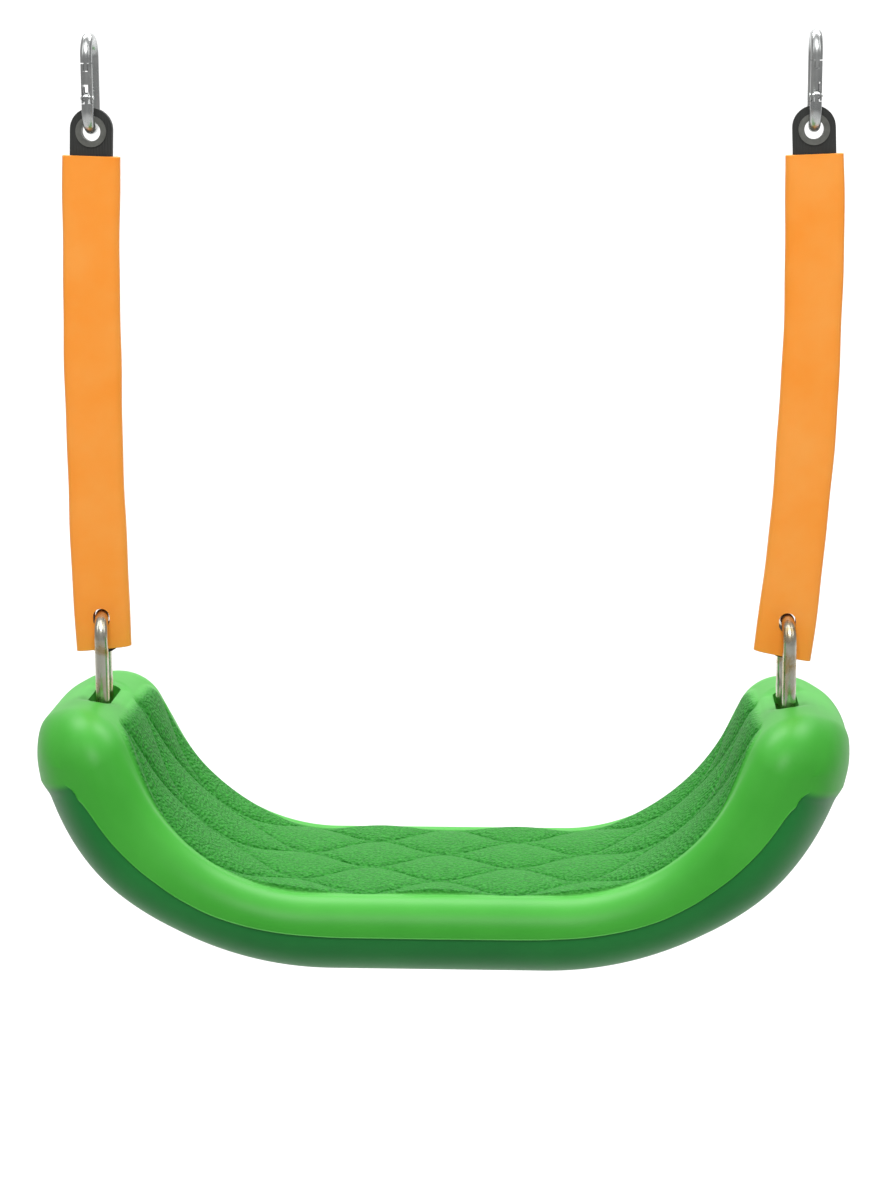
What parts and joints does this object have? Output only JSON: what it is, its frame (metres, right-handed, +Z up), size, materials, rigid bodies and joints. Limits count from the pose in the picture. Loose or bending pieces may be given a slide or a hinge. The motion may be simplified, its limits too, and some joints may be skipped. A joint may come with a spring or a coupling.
{
  "type": "swing",
  "caption": "Child's swing: hollow U-shaped moulded seat on flat sleeved belts, joined by oval steel links and hung from sprung snap hooks.",
  "frame": {"origin": "on the seat's centre plane, level with the inside of the two snap hooks' top bends, where the beam's eyes bear", "axes": "+X along the seat from horn to horn, -Y towards the front of the seat, +Z up along the hangers"},
  "size_m": [0.43, 0.165, 0.4824],
  "materials": {
    "seat": "satin blow-moulded polyethylene",
    "sleeve": "satin soft PVC",
    "belt": "matt ribbed rubber",
    "eyelet": "zinc plated",
    "zinc_link": "bright zinc plated, faintly yellow",
    "bolt_steel": "zinc plated",
    "brass_insert": "machined",
    "cap": "satin moulded polyethylene",
    "hook_steel": "bright zinc plated",
    "spring_wire": "drawn spring steel"
  },
  "bodies": {
    "root": {"left_snap_hook_body": "hook_steel", "left_gate_rivet": "hook_steel", "right_snap_hook_body": "hook_steel", "right_gate_rivet": "hook_steel"},
    "left_gate": {"left_snap_hook_gate": "hook_steel", "left_gate_spring": "spring_wire"},
    "left_hanger": {"left_belt_sleeve": "sleeve", "left_load_belt": "belt", "left_lower_eyelet": "eyelet", "left_upper_eyelet": "eyelet"},
    "left_link": {"left_link_ring": "zinc_link"},
    "right_gate": {"right_snap_hook_gate": "hook_steel", "right_gate_spring": "spring_wire"},
    "right_hanger": {"right_belt_sleeve": "sleeve", "right_load_belt": "belt", "right_lower_eyelet": "eyelet", "right_upper_eyelet": "eyelet"},
    "right_link": {"right_link_ring": "zinc_link"},
    "seat": {"seat_shell": "seat", "left_anchor_bolt": "bolt_steel", "left_bolt_washer": "bolt_steel", "left_bolt_bushing": "bolt_steel", "left_threaded_insert": "brass_insert", "left_bolt_cap": "cap", "right_anchor_bolt": "bolt_steel", "right_bolt_washer": "bolt_steel", "right_bolt_bushing": "bolt_steel", "right_threaded_insert": "brass_insert", "right_bolt_cap": "cap"}
  },
  "joints": [
    {"name": "left_swing", "type": "hinge", "parent": "root", "child": "left_hanger", "pos_m": [-0.1803, 0, -0.033], "axis": [1, 0, 0], "range_deg": [-60, 60]},
    {"name": "left_link_pivot", "type": "hinge", "parent": "left_hanger", "child": "left_link", "pos_m": [-0.1818, 0, -0.31037], "axis": [1, 0, 0], "range_deg": [-22, 22]},
    {"name": "left_gate_hinge", "type": "hinge", "parent": "root", "child": "left_gate", "pos_m": [-0.1803, -0.01, -0.027], "axis": [-1, 0, 0], "range_deg": [0, 35], "stiffness_Nm_per_rad": 0.02, "springref_deg": -20.05},
    {"name": "right_swing", "type": "hinge", "parent": "root", "child": "right_hanger", "pos_m": [0.1908, 0, -0.033], "axis": [1, 0, 0], "range_deg": [-60, 60]},
    {"name": "right_link_pivot", "type": "hinge", "parent": "right_hanger", "child": "right_link", "pos_m": [0.1818, 0, -0.31037], "axis": [1, 0, 0], "range_deg": [-22, 22]},
    {"name": "right_gate_hinge", "type": "hinge", "parent": "root", "child": "right_gate", "pos_m": [0.1908, -0.01, -0.027], "axis": [-1, 0, 0], "range_deg": [0, 35], "stiffness_Nm_per_rad": 0.02, "springref_deg": -20.05},
    {"name": "seat_tilt", "type": "hinge", "parent": "left_link", "child": "seat", "pos_m": [-0.1818, 0, -0.36642], "axis": [1, 0, 0], "range_deg": [-10, 10]}
  ],
  "couplings": [
    {"joint": "right_swing", "follows": "left_swing", "ratio": 1},
    {"joint": "right_link_pivot", "follows": "left_link_pivot", "ratio": 1}
  ]
}
